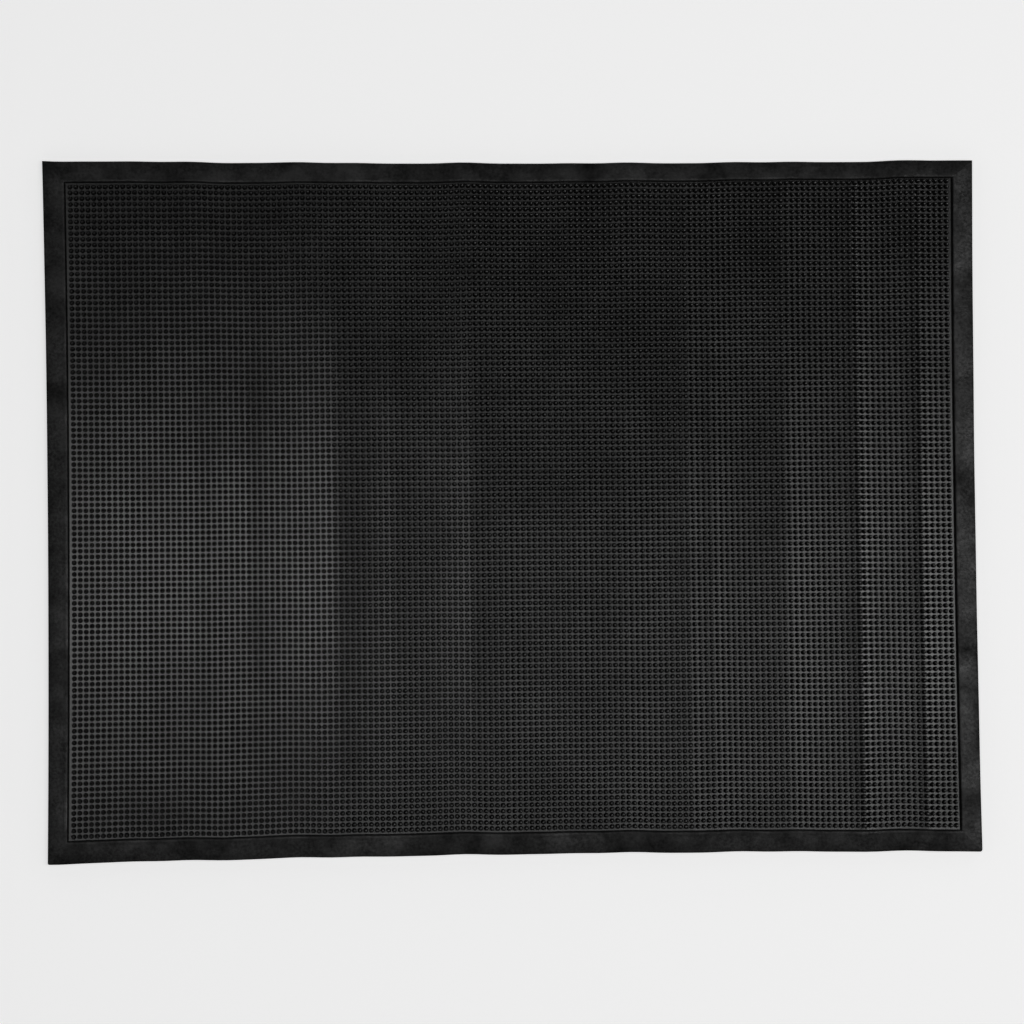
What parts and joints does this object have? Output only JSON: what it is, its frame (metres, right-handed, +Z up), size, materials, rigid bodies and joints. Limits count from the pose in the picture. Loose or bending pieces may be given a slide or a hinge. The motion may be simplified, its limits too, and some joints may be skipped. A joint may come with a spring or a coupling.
{
  "type": "fingertip door mat",
  "caption": "Rectangular moulded rubber scraper mat: a square grid of short upstanding fingers inside a bevelled border with mitred corners.",
  "frame": {"origin": "middle of the underside, on the ground the mat lies on", "axes": "+X along the long side, +Y from the front edge to the back edge, +Z up through the fingers"},
  "size_m": [0.8, 0.6, 0.012],
  "materials": {
    "backing_rubber": "matte",
    "finger_rubber": "satin",
    "border_rubber": "satin"
  },
  "bodies": {
    "root": {"backing_sheet": "backing_rubber", "finger_field": "finger_rubber", "border_front": "border_rubber", "border_right": "border_rubber", "border_back": "border_rubber", "border_left": "border_rubber"}
  },
  "joints": []
}
